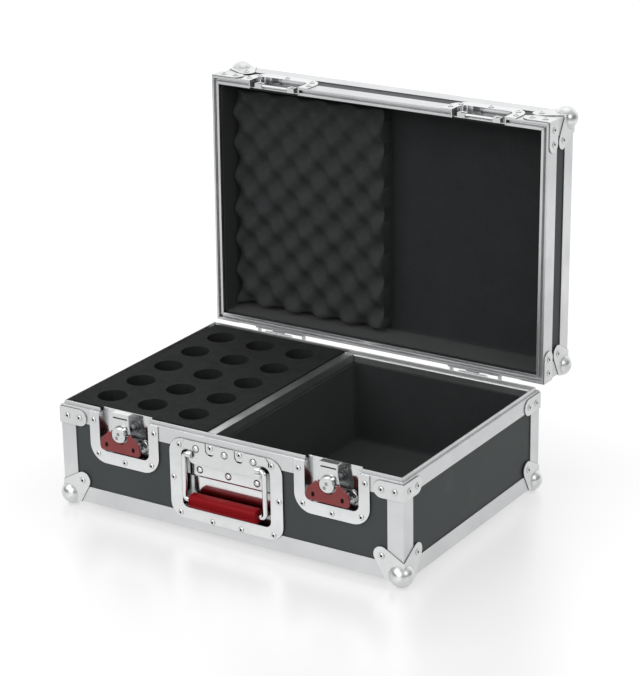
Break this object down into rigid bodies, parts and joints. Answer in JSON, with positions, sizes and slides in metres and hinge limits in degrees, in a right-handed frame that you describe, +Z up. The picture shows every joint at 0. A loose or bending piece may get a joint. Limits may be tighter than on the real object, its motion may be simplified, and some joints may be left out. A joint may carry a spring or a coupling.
{
  "type": "microphone case",
  "caption": "Aluminium-edged flight case for hand-held microphones, shown open: foam block with round sockets, open compartment, recessed butterfly catches, recessed sprung handle, hinged lid.",
  "frame": {"origin": "middle of the open case's footprint, on the floor it stands on", "axes": "+X along the front towards the viewer's right, +Y from the front to the hinges, +Z up"},
  "size_m": [0.5162, 0.4435, 0.4884],
  "materials": {
    "laminate_board": "dark grey-green laminate on plywood, satin",
    "aluminium_rail": "satin extrusion",
    "rivet_aluminium": "satin, dark open tube",
    "zinc_steel": "bright zinc plate",
    "bright_steel": "polished",
    "red_grip": "satin red",
    "red_wing": "satin red",
    "mic_foam": "matte foam",
    "egg_foam": "matte foam",
    "black_lining": "matte felt"
  },
  "bodies": {
    "base": {"base_front_panel": "laminate_board", "base_back_panel": "laminate_board", "base_left_panel": "laminate_board", "base_right_panel": "laminate_board", "base_bottom_panel": "laminate_board", "base_tongue_rails": "aluminium_rail", "base_lower_rails": "aluminium_rail", "base_corner_posts": "aluminium_rail", "base_ball_corners": "zinc_steel", "base_corner_braces": "zinc_steel", "base_rivets": "rivet_aluminium", "handle_dish": "bright_steel", "handle_cover_plate": "zinc_steel", "handle_back_plate": "bright_steel", "handle_rivets": "zinc_steel", "mic_foam_block": "mic_foam", "divider_panel": "black_lining", "divider_cap": "aluminium_rail", "compartment_lining": "black_lining", "catch_dish_left": "bright_steel", "catch_bracket_left": "zinc_steel", "catch_pivot_pin_left": "zinc_steel", "hinge_base_leaf_left": "zinc_steel", "hinge_pin_left": "zinc_steel", "catch_dish_right": "bright_steel", "catch_bracket_right": "zinc_steel", "catch_pivot_pin_right": "zinc_steel", "hinge_base_leaf_right": "zinc_steel", "hinge_pin_right": "zinc_steel"},
    "lid": {"lid_front_panel": "laminate_board", "lid_back_panel": "laminate_board", "lid_left_panel": "laminate_board", "lid_right_panel": "laminate_board", "lid_top_panel": "laminate_board", "lid_groove_rails": "aluminium_rail", "lid_edge_rails": "aluminium_rail", "lid_corner_posts": "aluminium_rail", "lid_ball_corners": "zinc_steel", "lid_corner_braces": "zinc_steel", "lid_rivets": "rivet_aluminium", "lid_lining": "black_lining", "lid_egg_foam": "egg_foam", "strike_dish_left": "bright_steel", "strike_bar_left": "zinc_steel", "hinge_lid_leaf_left": "zinc_steel", "strike_dish_right": "bright_steel", "strike_bar_right": "zinc_steel", "hinge_lid_leaf_right": "zinc_steel"},
    "bail": {"handle_bail": "bright_steel", "handle_grip": "red_grip"},
    "claw_left": {"catch_claw_left": "zinc_steel"},
    "spindle_left": {"catch_spindle_left": "zinc_steel", "catch_wing_pin_left": "zinc_steel"},
    "wing_left": {"catch_wing_left": "red_wing"},
    "claw_right": {"catch_claw_right": "zinc_steel"},
    "spindle_right": {"catch_spindle_right": "zinc_steel", "catch_wing_pin_right": "zinc_steel"},
    "wing_right": {"catch_wing_right": "red_wing"}
  },
  "joints": [
    {"name": "lid_hinge", "type": "hinge", "parent": "base", "child": "lid", "pos_m": [0, 0.1383, 0.1344], "axis": [1, 0, 0], "range_deg": [0, 90.87]},
    {"name": "bail_hinge", "type": "hinge", "parent": "base", "child": "bail", "pos_m": [0, -0.2125, 0.1103], "axis": [-1, 0, 0], "range_deg": [0, 90], "stiffness_Nm_per_rad": 0.08, "springref_deg": -11.46},
    {"name": "claw_swing_left", "type": "hinge", "parent": "base", "child": "claw_left", "pos_m": [-0.152, -0.2055, 0.1], "axis": [-1, 0, 0], "range_deg": [0, 8]},
    {"name": "spindle_turn_left", "type": "hinge", "parent": "claw_left", "child": "spindle_left", "pos_m": [-0.152, -0.2145, 0.1169], "axis": [0, 1, 0], "range_deg": [0, 180]},
    {"name": "wing_fold_left", "type": "hinge", "parent": "spindle_left", "child": "wing_left", "pos_m": [-0.152, -0.2174, 0.1169], "axis": [-1, 0, 0], "range_deg": [0, 90]},
    {"name": "claw_swing_right", "type": "hinge", "parent": "base", "child": "claw_right", "pos_m": [0.152, -0.2055, 0.1], "axis": [-1, 0, 0], "range_deg": [0, 8]},
    {"name": "spindle_turn_right", "type": "hinge", "parent": "claw_right", "child": "spindle_right", "pos_m": [0.152, -0.2145, 0.1169], "axis": [0, 1, 0], "range_deg": [0, 180]},
    {"name": "wing_fold_right", "type": "hinge", "parent": "spindle_right", "child": "wing_right", "pos_m": [0.152, -0.2174, 0.1169], "axis": [-1, 0, 0], "range_deg": [0, 90]}
  ],
  "couplings": [
    {"joint": "claw_swing_left", "follows": "spindle_turn_left", "ratio": 0.0444},
    {"joint": "claw_swing_right", "follows": "spindle_turn_right", "ratio": 0.0444}
  ]
}
